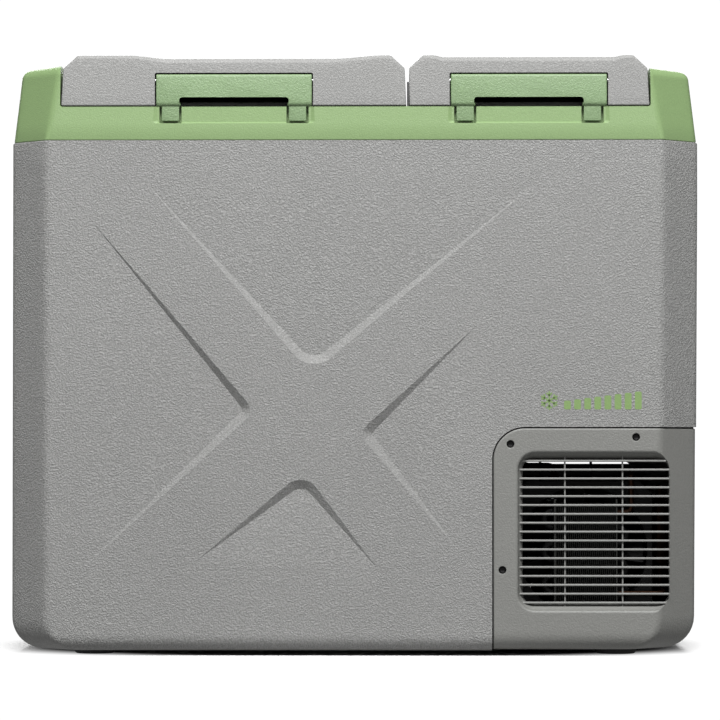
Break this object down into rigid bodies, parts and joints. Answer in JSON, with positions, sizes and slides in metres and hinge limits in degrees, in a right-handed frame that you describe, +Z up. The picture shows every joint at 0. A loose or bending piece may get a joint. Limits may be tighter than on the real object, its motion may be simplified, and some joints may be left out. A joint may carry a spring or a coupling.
{
  "type": "compressor cooler fridge",
  "caption": "Box-shaped portable compressor cooler with a raised cross on its front, green collar, two hinged lids with latch handles and a slatted compressor bay.",
  "frame": {"origin": "on the floor, under the middle of the cooler", "axes": "+X to the cooler's right seen from its front, +Y to its back, +Z up"},
  "size_m": [0.59, 0.365, 0.5126],
  "materials": {
    "shell_grey": "fine leather-like grain, matte",
    "lid_grey": "fine grain, matte",
    "cover_grey": "satin with a very fine grain",
    "trim_green": "satin sage green",
    "liner_white": "smooth light grey",
    "foam": "rigid insulating foam, matte",
    "rubber": "matte black",
    "grey_rubber": "matte grey",
    "steel": "satin",
    "black_metal": "satin black",
    "dark_metal": "dark coated fins",
    "painted_steel": "satin dark grey",
    "aluminium": "satin",
    "copper": "satin copper",
    "black_plastic": "matte black",
    "dark_glass": "glossy dark window",
    "board_green": "satin green"
  },
  "bodies": {
    "cooler": {"outer_shell": "shell_grey", "collar": "trim_green", "compressor_cover": "cover_grey", "front_grille": "cover_grey", "rear_grille": "cover_grey", "liner_left": "liner_white", "liner_right": "liner_white", "foam_body": "foam", "foot_1": "rubber", "foot_2": "rubber", "foot_3": "rubber", "foot_4": "rubber", "grommet_1": "rubber", "grommet_2": "rubber", "grommet_3": "rubber", "hinge_pin_left": "steel", "hinge_pin_right": "steel", "handle_left_pin": "steel", "handle_right_pin": "steel", "cover_screw_1": "black_metal", "cover_screw_2": "black_metal", "cover_screw_3": "black_metal", "compressor": "black_metal", "condenser": "dark_metal", "bay_wall": "painted_steel", "compressor_tray": "painted_steel", "evaporator_left": "aluminium", "evaporator_right": "aluminium", "filter_drier": "copper", "discharge_tube": "copper", "liquid_tube": "copper", "suction_tube": "copper", "driver_module": "black_plastic", "fan_frame": "black_plastic", "panel_bezel": "black_plastic", "dc_inlet": "black_plastic", "ac_inlet": "black_plastic", "display_window": "dark_glass", "panel_board": "board_green"},
    "lid_left": {"lid_shell_left": "lid_grey", "lid_liner_left": "liner_white", "lid_foam_left": "foam", "lid_gasket_left": "rubber", "latch_pin_left": "steel", "latch_spring_left": "steel"},
    "lid_right": {"lid_shell_right": "lid_grey", "lid_liner_right": "liner_white", "lid_foam_right": "foam", "lid_gasket_right": "rubber", "latch_pin_right": "steel", "latch_spring_right": "steel"},
    "latch_left": {"latch_left": "trim_green"},
    "latch_right": {"latch_right": "trim_green"},
    "handle_left": {"handle_left": "trim_green"},
    "handle_right": {"handle_right": "trim_green"},
    "fan": {"fan_rotor": "black_plastic"},
    "button_power": {"button_power": "grey_rubber"},
    "button_set": {"button_set": "grey_rubber"},
    "button_down": {"button_down": "grey_rubber"},
    "button_up": {"button_up": "grey_rubber"}
  },
  "joints": [
    {"name": "lid_left_hinge", "type": "hinge", "parent": "cooler", "child": "lid_left", "pos_m": [-0.103, 0.164, 0.4775], "axis": [-1, 0, 0], "range_deg": [0, 95]},
    {"name": "lid_right_hinge", "type": "hinge", "parent": "cooler", "child": "lid_right", "pos_m": [0.14945, 0.164, 0.4775], "axis": [-1, 0, 0], "range_deg": [0, 95]},
    {"name": "latch_left_pivot", "type": "hinge", "parent": "lid_left", "child": "latch_left", "pos_m": [-0.1028, -0.1765, 0.4915], "axis": [-1, 0, 0], "range_deg": [0, 32], "stiffness_Nm_per_rad": 0.1, "springref_deg": -11.46},
    {"name": "latch_right_pivot", "type": "hinge", "parent": "lid_right", "child": "latch_right", "pos_m": [0.149, -0.1765, 0.4915], "axis": [-1, 0, 0], "range_deg": [0, 32], "stiffness_Nm_per_rad": 0.1, "springref_deg": -11.46},
    {"name": "handle_left_swing", "type": "hinge", "parent": "cooler", "child": "handle_left", "pos_m": [-0.2855, 0, 0.411], "axis": [0, 1, 0], "range_deg": [0, 90]},
    {"name": "handle_right_swing", "type": "hinge", "parent": "cooler", "child": "handle_right", "pos_m": [0.2855, 0, 0.411], "axis": [0, -1, 0], "range_deg": [0, 90]},
    {"name": "fan_spin", "type": "hinge", "parent": "cooler", "child": "fan", "pos_m": [0.198, -0.1, 0.088], "axis": [0, 1, 0], "continuous": true},
    {"name": "button_power_press", "type": "slide", "parent": "cooler", "child": "button_power", "axis": [-1, 0, 0], "range_m": [0, 0.0008], "stiffness_N_per_m": 300},
    {"name": "button_set_press", "type": "slide", "parent": "cooler", "child": "button_set", "axis": [-1, 0, 0], "range_m": [0, 0.0008], "stiffness_N_per_m": 300},
    {"name": "button_down_press", "type": "slide", "parent": "cooler", "child": "button_down", "axis": [-1, 0, 0], "range_m": [0, 0.0008], "stiffness_N_per_m": 300},
    {"name": "button_up_press", "type": "slide", "parent": "cooler", "child": "button_up", "axis": [-1, 0, 0], "range_m": [0, 0.0008], "stiffness_N_per_m": 300}
  ]
}
